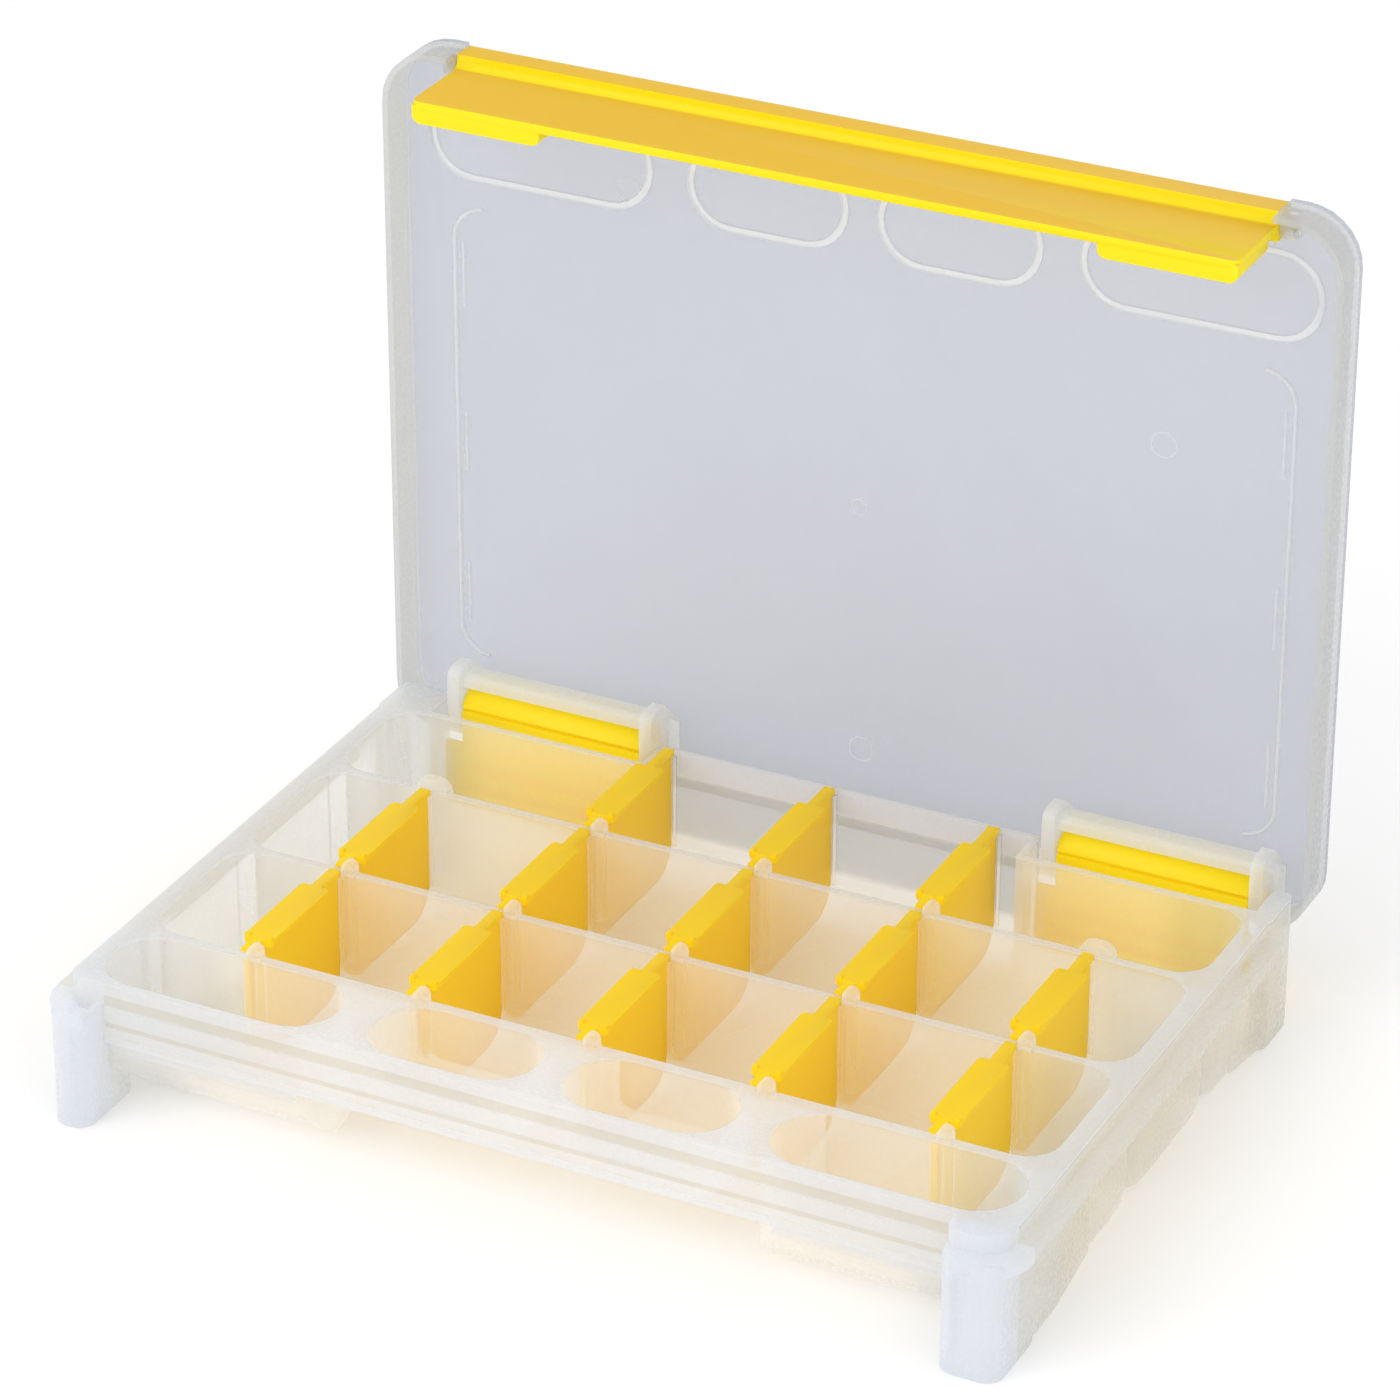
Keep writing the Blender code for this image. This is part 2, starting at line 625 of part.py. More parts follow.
def hinge_housings():
    """Cheeks at both ends of each roll with a hole for its pin, and the canopy between them."""
    solids = []
    holes = []
    axis = (HINGE_Y, HINGE_Z)
    for roll0, roll1 in ROLLS:
        x0, x1 = roll0 - CHEEK_GAP, roll1 + CHEEK_GAP
        for start in (x0 - CHEEK_THICK, x1):
            solids.append(cheek(start, start + CHEEK_THICK, axis, CHEEK_R, CHEEK_TOP, CHEEK_CORNER_R))
        solids.append(canopy(x0 - LAP, x1 + LAP))
        holes.append(rod(axis, PIN_HOLE_R, roll0 - PIN_REACH - GAP, x0 + LAP, 16))
        holes.append(rod(axis, PIN_HOLE_R, x1 - LAP, roll1 + PIN_REACH + GAP, 16))
    return solids, holes


def latch_cheeks():
    """The two plates that carry the latch's pins."""
    solids = []
    holes = []
    axis = (LATCH_Y, LATCH_Z)
    start = LATCH_HALF + LATCH_GAP
    for sign in (-1, 1):
        x0, x1 = sorted((sign * start, sign * (start + CHEEK_THICK)))
        solids.append(cheek(x0, x1, axis, LATCH_CHEEK_R, LATCH_Z + LATCH_CHEEK_R, LATCH_CORNER_R))
        x0, x1 = sorted((sign * (start - LAP), sign * (start + PIN_REACH + GAP)))
        holes.append(rod(axis, PIN_HOLE_R, x0, x1, 16))
    return solids, holes


def build_lid(collection):
    housings, pin_holes = hinge_housings()
    cheeks, latch_holes = latch_cheeks()
    rings, ring_cuts = lid_rings()
    solids = [lid_shell()] + housings + cheeks + rings
    return join_solids("lid", solids, ring_cuts + pin_holes + latch_holes, collection)


# ---- latch ---------------------------------------------------------------------------------------

def spine_outline():
    """A square section with a fillet towards the flap, rounded about the axis below its back."""
    top = LATCH_Z + SPINE_R
    back = LATCH_Y + SPINE_R
    foot = SPINE_FRONT - SPINE_FILLET
    outline = arc((foot, FLAP_TOP + SPINE_FILLET), SPINE_FILLET, 270, 345, 5)
    outline += [(SPINE_FRONT, FLAP_TOP + SPINE_FILLET), (SPINE_FRONT, top)]
    outline += [(back - SPINE_CORNER, top), (back, top - SPINE_CORNER)]
    outline += arc((LATCH_Y, LATCH_Z), SPINE_R, 0, -90, 6)
    under = FLAP_TOP - FLAP_THICK
    return outline + [(SPINE_FRONT, LATCH_Z - SPINE_R), (SPINE_FRONT, under), (foot, under)]


def build_latch(collection):
    """A spine on the lid's edge and a flap with two thicker ends. A pin stands out at both ends."""
    solids = [prism(spine_outline(), "X", -LATCH_HALF, LATCH_HALF)]
    flap = rounded_rectangle((-FLAP_HALF, FLAP_EDGE), (FLAP_HALF, SPINE_FRONT - LAP),
                             (FLAP_R, FLAP_R, 0.0, 0.0), 5)
    solids.append(prism(flap, "Z", FLAP_TOP - FLAP_THICK - 0.0001, FLAP_TOP + 0.0001))
    foot = FLAP_TOP - TAB_THICK
    for sign in (-1, 1):
        x0, x1 = sorted((sign * TAB_INNER, sign * (FLAP_HALF - 0.0001)))
        tab = rounded_rectangle((x0, foot), (x1, FLAP_TOP - LAP), (FLAP_R, FLAP_R, 0.0, 0.0), 4)
        solids.append(prism(tab, "Y", FLAP_EDGE + 0.0001, TAB_BACK))
    reach = LATCH_HALF + LATCH_GAP + PIN_REACH
    solids.append(rod((LATCH_Y, LATCH_Z), PIN_R, -reach, reach, 16))
    return join_solids("latch", solids, [], collection)


# ---- dividers ------------------------------------------------------------------------------------

def build_divider(collection, name, x, row):
    """A blade for the slots with a wider bar along its top, which narrows to a neck at both walls."""
    y0, y1 = row_span(row)
    y0 += GAP
    y1 -= GAP
    low_corner = FLOOR_R + 0.0010
    outline = rounded_rectangle((y0, SKIN + GAP), (y1, BAR_TOP - 0.0005),
                                (low_corner, low_corner, 0.0004, 0.0004), 5)
    solids = [prism(outline, "X", x - BLADE_THICK / 2, x + BLADE_THICK / 2)]
    base = BAR_TOP - BAR_THICK
    bar0 = y0 + FRONT_NECK
    solids.append(box((x - NECK_WIDTH / 2, y0, base), (x + NECK_WIDTH / 2, y1, BAR_TOP - 0.0001)))
    bar = rounded_rectangle((x - BAR_WIDTH / 2, bar0), (x + BAR_WIDTH / 2, bar0 + BAR_LENGTH), (0.0008,) * 4, 1)
    solids.append(prism(bar, "Z", base - 0.0001, BAR_TOP))
    for side in (-1, 1):
        ends = sorted((x + side * (BAR_WIDTH / 2 - OFFSET), x + side * (BAR_WIDTH / 2 - NUB[0])))
        low = (ends[0], bar0 + OFFSET, base + OFFSET)
        solids.append(box(low, (ends[1], bar0 + NUB[1], BAR_TOP + NUB[2])))
    return join_solids(name, solids, [], collection)


# ---- assembly ------------------------------------------------------------------------------------

def finish(obj, material, pivot):
    """Give a piece its material and shading, and put its origin on its joint's axis."""
    mesh = obj.data
    mesh.materials.clear()
    mesh.materials.append(material)
    mesh.shade_smooth()
    mesh.set_sharp_from_angle(angle=math.radians(SHARP_DEG))
    mesh.transform(Matrix.Translation(-Vector(pivot)))
    obj.location = pivot


clear_scene()
TOOLS = make_collection("cutters")
PARTS = make_collection("tackle_box")
CLEAR = make_material("clear")
YELLOW = make_material("yellow")
LID_PIVOT = (0.0, HINGE_Y, HINGE_Z)

finish(build_tray(PARTS), CLEAR, (0.0, 0.0, 0.0))
finish(build_lid(PARTS), CLEAR, LID_PIVOT)
finish(build_latch(PARTS), YELLOW, (0.0, LATCH_Y, LATCH_Z))
for hinge_name, hinge_roll, hinge_recess in zip(("hinge_left", "hinge_right"), ROLLS, RECESSES):
    finish(build_hinge(PARTS, hinge_name, hinge_roll, hinge_recess), YELLOW, LID_PIVOT)
for row_number, row_label in enumerate(("rear", "middle", "front")):
    for count, slot_x in enumerate(slot_columns(row_number), 1):
        divider = build_divider(PARTS, f"divider_{row_label}_{count}", slot_x, row_number)
        finish(divider, YELLOW, (slot_x, row_span(row_number)[0], 0.0))
bpy.data.collections.remove(TOOLS)
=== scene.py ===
"""The looks of the compartment box: translucent mouldings, yellow hinges, latch and dividers."""
import json
import math

import bmesh
import bpy
from mathutils import Matrix, Vector


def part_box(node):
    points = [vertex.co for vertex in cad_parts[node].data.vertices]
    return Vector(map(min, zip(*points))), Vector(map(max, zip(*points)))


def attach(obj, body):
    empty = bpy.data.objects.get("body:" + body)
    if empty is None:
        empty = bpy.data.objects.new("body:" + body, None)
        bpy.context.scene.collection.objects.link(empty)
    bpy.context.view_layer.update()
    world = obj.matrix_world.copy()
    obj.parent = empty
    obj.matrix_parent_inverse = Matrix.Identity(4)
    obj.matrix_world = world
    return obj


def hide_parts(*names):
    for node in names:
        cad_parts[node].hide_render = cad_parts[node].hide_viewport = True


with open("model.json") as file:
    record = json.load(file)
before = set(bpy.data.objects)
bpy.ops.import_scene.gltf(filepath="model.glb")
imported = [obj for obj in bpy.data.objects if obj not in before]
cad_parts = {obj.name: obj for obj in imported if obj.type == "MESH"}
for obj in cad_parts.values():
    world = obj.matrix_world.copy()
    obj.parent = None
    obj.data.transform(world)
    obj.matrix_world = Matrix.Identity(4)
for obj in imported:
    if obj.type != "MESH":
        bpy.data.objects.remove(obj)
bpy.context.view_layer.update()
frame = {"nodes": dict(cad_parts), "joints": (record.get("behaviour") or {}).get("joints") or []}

# Landmarks, taken from the frame.
TRAY_LOW, TRAY_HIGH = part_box("tray")
LID_LOW, LID_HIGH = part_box("lid")
JOINTS = {joint["name"]: joint for joint in frame["joints"]}
HINGE = Vector(JOINTS["lid_hinge"]["pos_m"])
LATCH = Vector(JOINTS["latch_hinge"]["pos_m"])
RIM_Z = HINGE.z + 0.0036
SKIN = 0.0016
PANEL_Y = LID_HIGH.y - SKIN             # inner face of the lid's panel
FRONT_LIP_BACK = TRAY_LOW.y + 0.0130    # back of the tray's front lip
SIDE_WALL = TRAY_HIGH.x - 0.0055        # just outside the tray's side walls
REAR_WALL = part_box("divider_rear_1")[1].y
WINDOW_X = (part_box("hinge_left")[1].x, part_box("hinge_right")[0].x)
WINDOW_LOW = RIM_Z - 0.026
# Painted shade: the grey that the rear wall's window is turned to where the lid shows through.
WINDOW_SHADE_COLOR = (0.44, 0.46, 0.44, 1.0)
WINDOW_COVER = 1.2

# Painted shade in the grooves along the front lip, between the posts, as depths below the tray's rim.
LIP_X = (-0.1195, 0.1138)
LIP_SHADE_DEPTHS = ((0.0066, 0.0036), (0.0128, 0.0114))
BAND_BLUR = 0.0002

# Fine lines on the lid's inner face, with heights above the tray's rim.
BEAD_X = 0.1193
BEAD_R = 0.0092
BEAD_ENDS = (0.0065, 0.1390)
BEAD_WIDTH = 0.0011
BEAD_TWINS = ((0.016, 0.034), (0.0615, 0.079), (0.110, 0.129))
MARK_WIDTH = 0.0003
LID_MARKS = ((0.0, 0.0763, 0.0022), (0.0844, 0.1124, 0.0035), (0.0016, 0.0048, 0.0035), (-0.067, 0.153, 0.0035))

# Painted shade: beyond ROW_END the row ends are painted grey, as no divider lights them up.
ROW_END = 0.106         # where a row's last divider stops lighting it up
YELLOW_GLOW = 0.3       # share of the yellow plastic's colour that lets the light through

# Camera, fitted to the view that the object is shown in.
CAMERA_AT = Vector((0.5751, -1.1489, 0.7888))
LOOK_AT = Vector((-0.0533, 0.1122, 0.0380))
CAMERA_ROLL = math.radians(0.103)
LENS_MM = 150.49


# ---- materials -----------------------------------------------------------------------------------

def new_material(name):
    material = bpy.data.materials.new(name)
    material.use_nodes = True
    nodes = material.node_tree.nodes
    return material, nodes, material.node_tree.links, nodes["Principled BSDF"]


def noise(nodes, links, coordinates, scale, detail=3.0, stretch=None):
    texture = nodes.new("ShaderNodeTexNoise")
    texture.inputs["Scale"].default_value = scale
    texture.inputs["Detail"].default_value = detail
    if stretch:
        mapping = nodes.new("ShaderNodeMapping")
        mapping.inputs["Scale"].default_value = stretch
        links.new(coordinates, mapping.inputs["Vector"])
        coordinates = mapping.outputs["Vector"]
    links.new(coordinates, texture.inputs["Vector"])
    return texture.outputs["Fac"]


def ramp(nodes, links, value, low, high, start=0.0, end=1.0):
    node = nodes.new("ShaderNodeMapRange")
    node.inputs["From Min"].default_value = start
    node.inputs["From Max"].default_value = end
    node.inputs["To Min"].default_value = low
    node.inputs["To Max"].default_value = high
    links.new(value, node.inputs["Value"])
    return node.outputs["Result"]


def bump(nodes, links, height, strength, distance, shader):
    node = nodes.new("ShaderNodeBump")
    node.inputs["Strength"].default_value = strength
    node.inputs["Distance"].default_value = distance
    links.new(height, node.inputs["Height"])
    links.new(node.outputs["Normal"], shader.inputs["Normal"])


def mix_colors(nodes, links, factor, first, second):
    node = nodes.new("ShaderNodeMix")
    node.data_type = "RGBA"
    node.inputs["A"].default_value = first
    node.inputs["B"].default_value = second
    links.new(factor, node.inputs["Factor"])
    return node.outputs["Result"]


def zone(nodes, links, value, start, end):
    """1 beyond end and 0 before start, along one coordinate."""
    return ramp(nodes, links, value, 0.0, 1.0, start, end)


def calculate(nodes, links, operation, first, second):
    node = nodes.new("ShaderNodeMath")
    node.operation = operation
    for value, socket in zip((first, second), node.inputs):
        if isinstance(value, float):
            socket.default_value = value
        elif value:
            links.new(value, socket)
    return node.outputs["Value"]


def along(nodes, links, place):
    """The three coordinates of a place."""
    split = nodes.new("ShaderNodeSeparateXYZ")
    links.new(place, split.inputs["Vector"])
    return split.outputs["X"], split.outputs["Y"], split.outputs["Z"]


def highest(nodes, links, *values):
    result = values[0]
    for value in values[1:]:
        result = calculate(nodes, links, "MAXIMUM", result, value)
    return result


def product(nodes, links, *values):
    result = values[0]
    for value in values[1:]:
        result = calculate(nodes, links, "MULTIPLY", result, value)
    return result


def lips_and_painted_rim_highlight(nodes, links, place):
    """The tray's top edges, whiter with a painted highlight, its front lip and the rear wall's upper band."""
    x, y, z = along(nodes, links, place)
    # Painted highlight: the rim tops are painted whiter and more opaque.
    top = product(nodes, links, zone(nodes, links, z, RIM_Z - 0.0014, RIM_Z - 0.0004),
                  zone(nodes, links, z, RIM_Z + 0.0010, RIM_Z + 0.0003))
    front = zone(nodes, links, y, FRONT_LIP_BACK, FRONT_LIP_BACK - 0.0008)
    band = product(nodes, links, zone(nodes, links, z, RIM_Z - 0.0078, RIM_Z - 0.0070),
                   zone(nodes, links, y, REAR_WALL, REAR_WALL + 0.0003))
    return highest(nodes, links, top, front, band)


def band(nodes, links, value, low, high):
    """1 between low and high, along one coordinate."""
    return product(nodes, links, zone(nodes, links, value, low - BAND_BLUR, low + BAND_BLUR),
                   zone(nodes, links, value, high + BAND_BLUR, high - BAND_BLUR))


def lip_groove_painted_shade(nodes, links, place):
    """Painted shade in the two grooves that run along the front lip, between its ledges, which the shallow ledges of
    the mesh don't shade.
    """
    x, y, z = along(nodes, links, place)
    front = zone(nodes, links, y, FRONT_LIP_BACK, FRONT_LIP_BACK - 0.0008)
    lines = [band(nodes, links, z, RIM_Z - low, RIM_Z - high) for low, high in LIP_SHADE_DEPTHS]
    return product(nodes, links, front, band(nodes, links, x, *LIP_X), highest(nodes, links, *lines))


def tray_sides_painted_shade(nodes, links, place):
    """Painted shade on the tray's outer flanges and posts, which makes them greyer than its lips."""
    x, y, z = along(nodes, links, place)
    side = zone(nodes, links, calculate(nodes, links, "ABSOLUTE", x, None), SIDE_WALL, SIDE_WALL + 0.0008)
    return product(nodes, links, side, zone(nodes, links, z, RIM_Z + 0.0002, RIM_Z - 0.0014))


def row_ends_painted_shade(nodes, links, place):
    """Painted shade on the outer ends of the rows of cells, which no divider lights up; the cells between the
    dividers keep the warmer tint.
    """
    x = along(nodes, links, place)[0]
    return zone(nodes, links, calculate(nodes, links, "ABSOLUTE", x, None), ROW_END - 0.008, ROW_END)


def window_painted_shade(nodes, links, place):
    """Painted shade on the upper part of the rear wall between the hinges, grey where the lid shows through."""
    x, y, z = along(nodes, links, place)
    return product(nodes, links, zone(nodes, links, x, WINDOW_X[0], WINDOW_X[0] + 0.0005),
                   zone(nodes, links, x, WINDOW_X[1], WINDOW_X[1] - 0.0005),
                   zone(nodes, links, y, REAR_WALL - 0.0006, REAR_WALL - 0.0002),
                   zone(nodes, links, y, REAR_WALL + 0.0020, REAR_WALL + 0.0016),
                   zone(nodes, links, z, WINDOW_LOW, WINDOW_LOW + 0.002))


def lid_edges(nodes, links, place):
    """The lid's skirt, cheeks and hinge housings, which stand in front of its panel."""
    y = along(nodes, links, place)[1]
    return zone(nodes, links, y, PANEL_Y - 0.0003, PANEL_Y - 0.0013)


def lid_skirt(nodes, links, place):
    """The lid's skirt at the two sides and the top, which is greyer than its housings."""
    x, y, z = along(nodes, links, place)
    side = zone(nodes, links, calculate(nodes, links, "ABSOLUTE", x, None), BEAD_X + 0.004, BEAD_X + 0.006)
    rim = highest(nodes, links, side, zone(nodes, links, z, LID_HIGH.z - 0.008, LID_HIGH.z - 0.006))
    return product(nodes, links, rim, lid_edges(nodes, links, place))


def recolored(nodes, links, color, other, mask):
    """color, turning into other where mask is 1."""
    blend = nodes.new("ShaderNodeMix")
    blend.data_type = "RGBA"
    blend.inputs["B"].default_value = other
    links.new(mask, blend.inputs["Factor"])
    links.new(color, blend.inputs["A"])
    return blend.outputs["Result"]


def milky_plastic(name, tint, cloud, cover, glow, *thick_or_painted_coats, window=None):
    """Translucent polypropylene: sheer where it is looked through, milkier where it is seen edge on.

    cover is how milky it is face on and edge on, and glow the share of that which lets the light from
    behind through. Each coat is a mask of where the plastic is thicker, or where shade or a highlight is
    painted, and its colour and cover there. The window mask marks where grey painted shade stands for
    the lid seen through, and WINDOW_COVER is what becomes of its cover there.
    """
    material, nodes, links, shader = new_material(name)
    place = nodes.new("ShaderNodeTexCoord").outputs["Object"]
    color = mix_colors(nodes, links, noise(nodes, links, place, 18.0), tint, cloud)
    # Painted shade: grey over the window mask, standing for the lid seen through.
    if window:
        shade_window_mask = window(nodes, links, place)
        color = recolored(nodes, links, color, WINDOW_SHADE_COLOR, shade_window_mask)
    coat_masks = []
    # Each coat: thicker plastic, painted shade or a painted highlight.
    for mask, paint, least in thick_or_painted_coats:
        coat_masks.append((mask(nodes, links, place), least))
        color = recolored(nodes, links, color, paint, coat_masks[-1][0])
    links.new(color, shader.inputs["Base Color"])
    grain = noise(nodes, links, place, 900.0, 2.0)
    links.new(ramp(nodes, links, grain, 0.20, 0.34), shader.inputs["Roughness"])
    shader.inputs["IOR"].default_value = 1.45
    bump(nodes, links, grain, 0.05, 0.0002, shader)
    through = nodes.new("ShaderNodeBsdfTranslucent")
    links.new(color, through.inputs["Color"])
    body = nodes.new("ShaderNodeMixShader")
    body.inputs["Fac"].default_value = glow
    links.new(shader.outputs["BSDF"], body.inputs[1])
    links.new(through.outputs["BSDF"], body.inputs[2])
    facing = nodes.new("ShaderNodeLayerWeight")
    facing.inputs["Blend"].default_value = 0.35
    amount = ramp(nodes, links, facing.outputs["Facing"], *cover)
    if window:
        amount = product(nodes, links, amount, ramp(nodes, links, shade_window_mask, 1.0, WINDOW_COVER))
    amount = highest(nodes, links, amount, *[product(nodes, links, *solid) for solid in coat_masks])
    clear = nodes.new("ShaderNodeBsdfTransparent")
    surface = nodes.new("ShaderNodeMixShader")
    links.new(amount, surface.inputs["Fac"])
    links.new(clear.outputs["BSDF"], surface.inputs[1])
    links.new(body.outputs["Shader"], surface.inputs[2])
    links.new(surface.outputs["Shader"], nodes["Material Output"].inputs["Surface"])
    return material


def yellow_plastic(name, green, top_shade_color=None):
    """Deep yellow plastic that glows a little in the light, with a fine grain and faint flow marks.

    green is how far its colour leans to lemon, and satin the painted shade on its upward faces, which darkens and
    dulls them.
    """
    material, nodes, links, shader = new_material(name)
    coordinates = nodes.new("ShaderNodeTexCoord")
    place = coordinates.outputs["Object"]
    flow = noise(nodes, links, place, 30.0, 4.0, (0.4, 1.0, 1.0))
    color = mix_colors(nodes, links, flow, (1.0, green - 0.03, 0.006, 1.0), (1.0, green + 0.03, 0.014, 1.0))
    # Painted shade: the upward faces are turned darker and duller.
    if top_shade_color:
        upward = along(nodes, links, coordinates.outputs["Normal"])[2]
        color = recolored(nodes, links, color, top_shade_color, zone(nodes, links, upward, 0.80, 0.97))
    links.new(color, shader.inputs["Base Color"])
    grain = noise(nodes, links, place, 1500.0, 2.0)
    links.new(ramp(nodes, links, grain, 0.30, 0.45), shader.inputs["Roughness"])
    shader.inputs["IOR"].default_value = 1.5
    shader.inputs["Specular IOR Level"].default_value = 0.3
    bump(nodes, links, grain, 0.08, 0.0002, shader)
    through = nodes.new("ShaderNodeBsdfTranslucent")
    links.new(color, through.inputs["Color"])
    body = nodes.new("ShaderNodeMixShader")
    body.inputs["Fac"].default_value = YELLOW_GLOW
    links.new(shader.outputs["BSDF"], body.inputs[1])
    links.new(through.outputs["BSDF"], body.inputs[2])
    links.new(body.outputs["Shader"], nodes["Material Output"].inputs["Surface"])
    return material


# ---- pieces --------------------------------------------------------------------------------------

def refined(node, width, segments=2):
    """A finer copy of a CAD solid: its flat faces merged, its edges rounded and its curves smooth."""
    mesh = frame["nodes"][node].data.copy()
    bm = bmesh.new()
    bm.from_mesh(mesh)
    bmesh.ops.remove_doubles(bm, verts=bm.verts, dist=1e-6)
    bmesh.ops.dissolve_limit(bm, angle_limit=math.radians(0.5), verts=bm.verts, edges=bm.edges)
    bm.to_mesh(mesh)
    bm.free()
    mesh.name = node + "_skin"
    piece = bpy.data.objects.new(node + "_skin", mesh)
    bpy.context.scene.collection.objects.link(piece)
    modifier = piece.modifiers.new("edges", "BEVEL")
    modifier.width = width
    modifier.segments = segments
    modifier.limit_method = "ANGLE"
    modifier.angle_limit = math.radians(40)
    modifier.use_clamp_overlap = True
    modifier.harden_normals = True
    mesh.shade_smooth()
    return piece


def dress(piece, body, slot, material, *nodes):
    piece.data.materials.clear()
    piece.data.materials.append(material)
    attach(piece, body)
    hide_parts(*nodes)
    return piece


def bead(name, points, radius):
    """A thin raised line moulded on the lid's inner face. points are x and height, on one smooth run."""
    curve = bpy.data.curves.new(name, "CURVE")
    curve.dimensions = "3D"
    curve.bevel_depth = radius
    curve.bevel_resolution = 2
    curve.use_fill_caps = True
    spline = curve.splines.new("POLY")
    spline.points.add(len(points) - 1)
    for point, (x, z) in zip(spline.points, points):
        point.co = (x, PANEL_Y, z, 1.0)
    piece = bpy.data.objects.new(name, curve)
    bpy.context.scene.collection.objects.link(piece)
    return piece


def turn(centre, radius, first, last, steps=10):
    """Points of an arc, with its angles in degrees."""
    angles = [math.radians(first + (last - first) * i / steps) for i in range(steps + 1)]
    return [(centre[0] + radius * math.cos(a), centre[1] + radius * math.sin(a)) for a in angles]


def side_bead(sign):
    """The long line down one side of the panel, curling inwards at both ends."""
    low, high = RIM_Z + BEAD_ENDS[0], RIM_Z + BEAD_ENDS[1]
    inner = BEAD_X - BEAD_R
    points = turn((inner, low + BEAD_R), BEAD_R, 275, 360) + turn((inner, high - BEAD_R), BEAD_R, 0, 85)
    return [(sign * x, z) for x, z in points]


def make_beads():
    for sign, side in ((-1, "left"), (1, "right")):
        dress(bead("lid_bead_" + side, side_bead(sign), BEAD_WIDTH / 2), "lid", "clear_plastic", BEAD_PLASTIC)
        for number, (low, high) in enumerate(BEAD_TWINS, 1):
            points = [(sign * (BEAD_X - 0.0026), RIM_Z + low), (sign * (BEAD_X - 0.0026), RIM_Z + high)]
            name = f"lid_bead_{side}_{number}"
            dress(bead(name, points, BEAD_WIDTH / 3), "lid", "clear_plastic", BEAD_PLASTIC)
    for number, (x, z, radius) in enumerate(LID_MARKS, 1):
        points = turn((x, RIM_Z + z), radius, 0, 345, 23)
        piece = bead(f"lid_mark_{number}", points, MARK_WIDTH / 2)
        piece.data.splines[0].use_cyclic_u = True
        dress(piece, "lid", "clear_plastic", BEAD_PLASTIC)


# ---- set -----------------------------------------------------------------------------------------

def make_floor():
    mesh = bpy.data.meshes.new("floor")
    bm = bmesh.new()
    bmesh.ops.create_grid(bm, x_segments=2, y_segments=2, size=3.0)
    bm.to_mesh(mesh)
    bm.free()
    floor = bpy.data.objects.new("floor", mesh)
    bpy.context.scene.collection.objects.link(floor)
    floor.location.z = -0.0004
    material, nodes, links, shader = new_material("floor")
    place = nodes.new("ShaderNodeTexCoord").outputs["Object"]
    links.new(mix_colors(nodes, links, noise(nodes, links, place, 3.0), (0.95, 0.95, 0.95, 1.0),
                         (0.97, 0.97, 0.97, 1.0)), shader.inputs["Base Color"])
    shader.inputs["Roughness"].default_value = 0.7
    mesh.materials.append(material)


def area_light(name, place, aim, size, power):
    data = bpy.data.lights.new(name, "AREA")
    data.shape = "DISK"
    data.size = size
    data.energy = power
    lamp = bpy.data.objects.new(name, data)
    lamp.location = place
    lamp.rotation_euler = (Vector(aim) - Vector(place)).to_track_quat("-Z", "Y").to_euler()
    bpy.context.scene.collection.objects.link(lamp)


def make_lights():
    world = bpy.data.worlds.new("studio")
    bpy.context.scene.world = world
    world.use_nodes = True
    world.node_tree.nodes["Background"].inputs["Color"].default_value = (1.0, 1.0, 1.0, 1.0)
    world.node_tree.nodes["Background"].inputs["Strength"].default_value = 0.85
    area_light("key", (-0.6, -1.3, 0.9), (0.0, 0.0, 0.05), 1.7, 11.0)
    area_light("fill", (1.2, -0.5, 0.7), (0.0, 0.0, 0.08), 1.5, 3.2)
    area_light("back", (0.2, 1.2, 1.1), (0.0, 0.0, 0.1), 1.3, 3.0)


def make_camera():
    data = bpy.data.cameras.new("camera")
    data.lens = LENS_MM
    data.sensor_width = 36.0
    camera = bpy.data.objects.new("camera", data)
    turn = (LOOK_AT - CAMERA_AT).to_track_quat("-Z", "Y").to_matrix().to_4x4()
    camera.matrix_world = Matrix.Translation(CAMERA_AT) @ turn @ Matrix.Rotation(CAMERA_ROLL, 4, "Z")
    bpy.context.scene.collection.objects.link(camera)
    bpy.context.scene.camera = camera


# ---- build ---------------------------------------------------------------------------------------

make_camera()
make_lights()
make_floor()

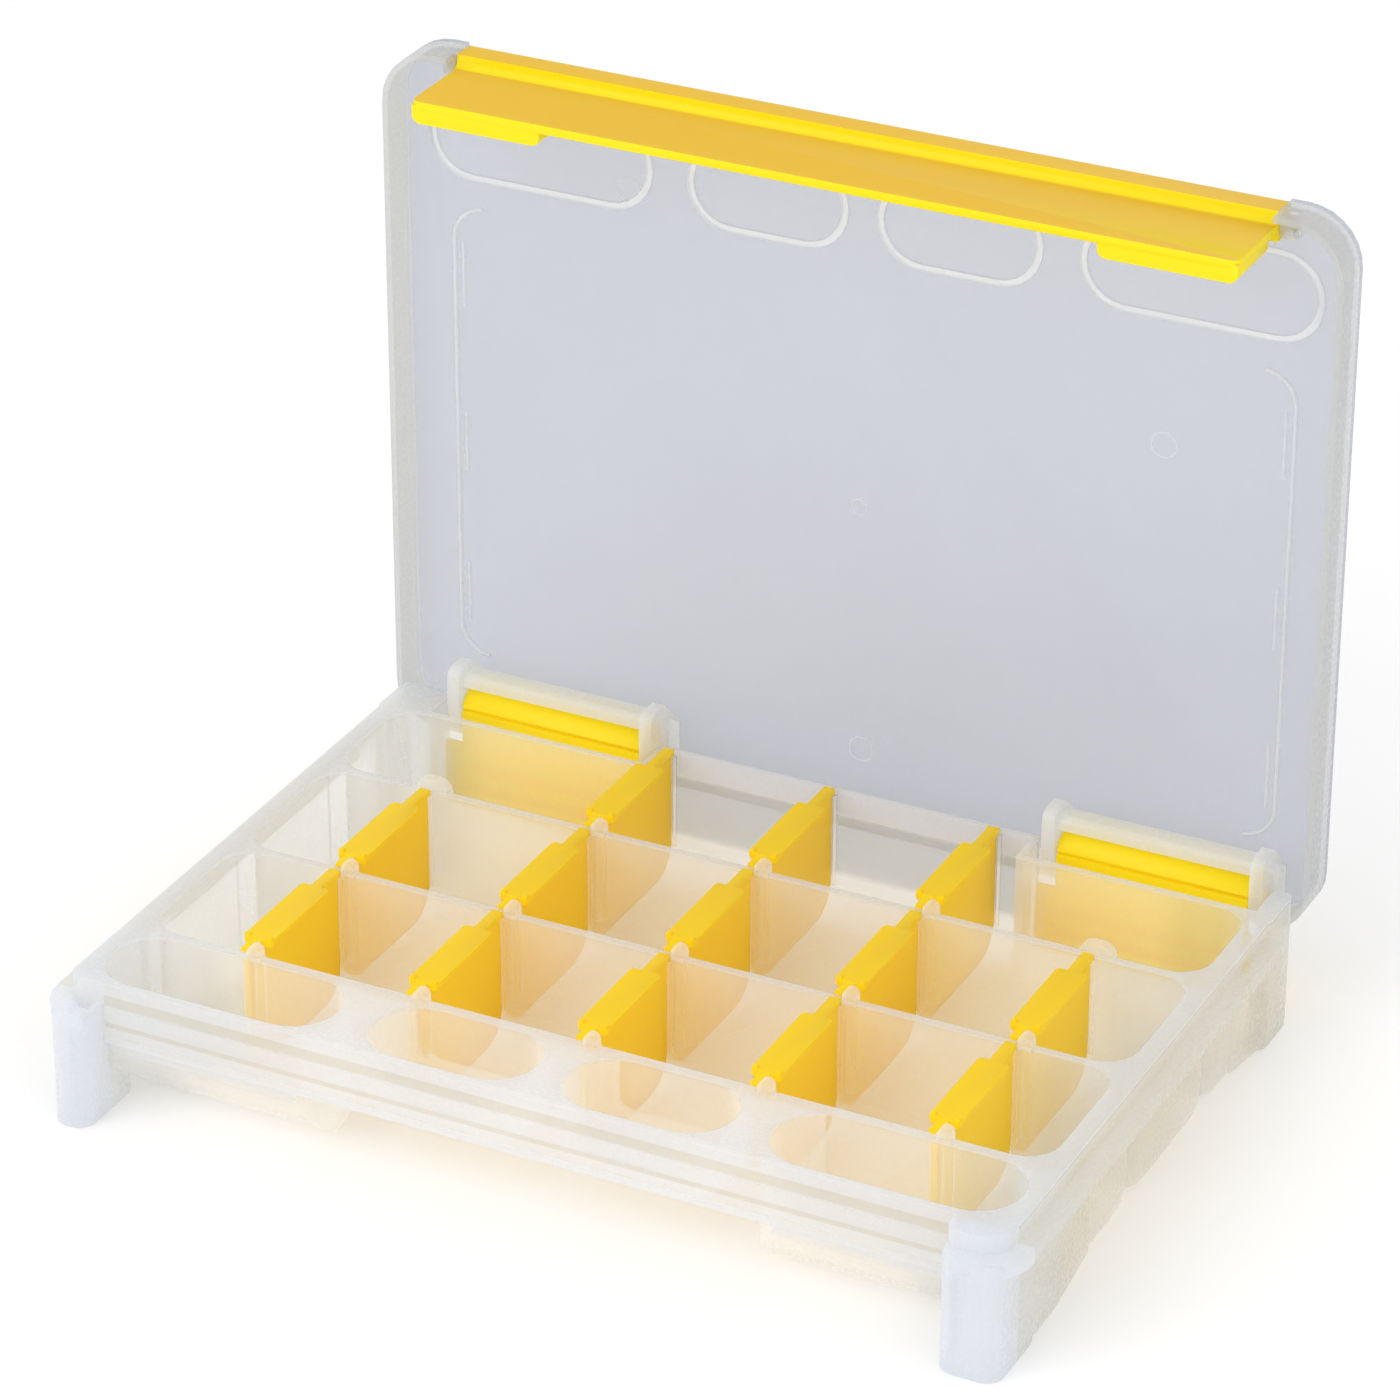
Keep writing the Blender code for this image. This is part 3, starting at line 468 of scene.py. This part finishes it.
# On the tray, the grey row ends, the greyer sides, the front lip's grooves and the rear window are painted shade, and
# the whiter rim tops a painted highlight.
TRAY_PLASTIC = milky_plastic("tray_plastic", (1.0, 0.99, 0.96, 1.0), (0.995, 0.985, 0.96, 1.0), (0.26, 0.62), 0.60,
                             (row_ends_painted_shade, (0.86, 0.87, 0.87, 1.0), 0.20), (tray_sides_painted_shade, (0.83, 0.825, 0.79, 1.0), 0.62),
                             (lips_and_painted_rim_highlight, (0.87, 0.89, 0.93, 1.0), 0.68), (lip_groove_painted_shade, (0.76, 0.75, 0.70, 1.0), 0.68),
                             window=window_painted_shade)
LID_PLASTIC = milky_plastic("lid_plastic", (0.37, 0.395, 0.49, 1.0), (0.42, 0.45, 0.55, 1.0), (0.34, 0.62), 0.45,
                            (lid_edges, (0.92, 0.94, 0.95, 1.0), 0.55), (lid_skirt, (0.66, 0.67, 0.67, 1.0), 0.50))
BEAD_PLASTIC = milky_plastic("bead_plastic", (0.90, 0.91, 0.93, 1.0), (0.95, 0.96, 0.97, 1.0), (0.55, 0.85), 0.40)
DIVIDER_YELLOW = yellow_plastic("divider_plastic", 0.78)
HINGE_YELLOW = yellow_plastic("hinge_plastic", 0.83)
# The latch's top faces get painted shade.
LATCH_YELLOW = yellow_plastic("latch_plastic", 0.87, (0.84, 0.58, 0.045, 1.0))

dress(refined("tray", 0.0004), "tray", "clear_plastic", TRAY_PLASTIC, "tray")
dress(refined("lid", 0.0004), "lid", "clear_plastic", LID_PLASTIC, "lid")
dress(refined("latch", 0.0006), "latch", "yellow_plastic", LATCH_YELLOW, "latch")
for side in ("left", "right"):
    name = "hinge_" + side
    dress(refined(name, 0.0003), "tray", "yellow_plastic", HINGE_YELLOW, name)
for name in sorted(frame["nodes"]):
    if name.startswith("divider"):
        dress(refined(name, 0.0003), name, "yellow_plastic", DIVIDER_YELLOW, name)

bpy.context.scene.cycles.transparent_max_bounces = 48
bpy.context.scene.cycles.max_bounces = 16
bpy.context.scene.cycles.diffuse_bounces = 10
bpy.context.scene.view_settings.view_transform = "Standard"

make_beads()
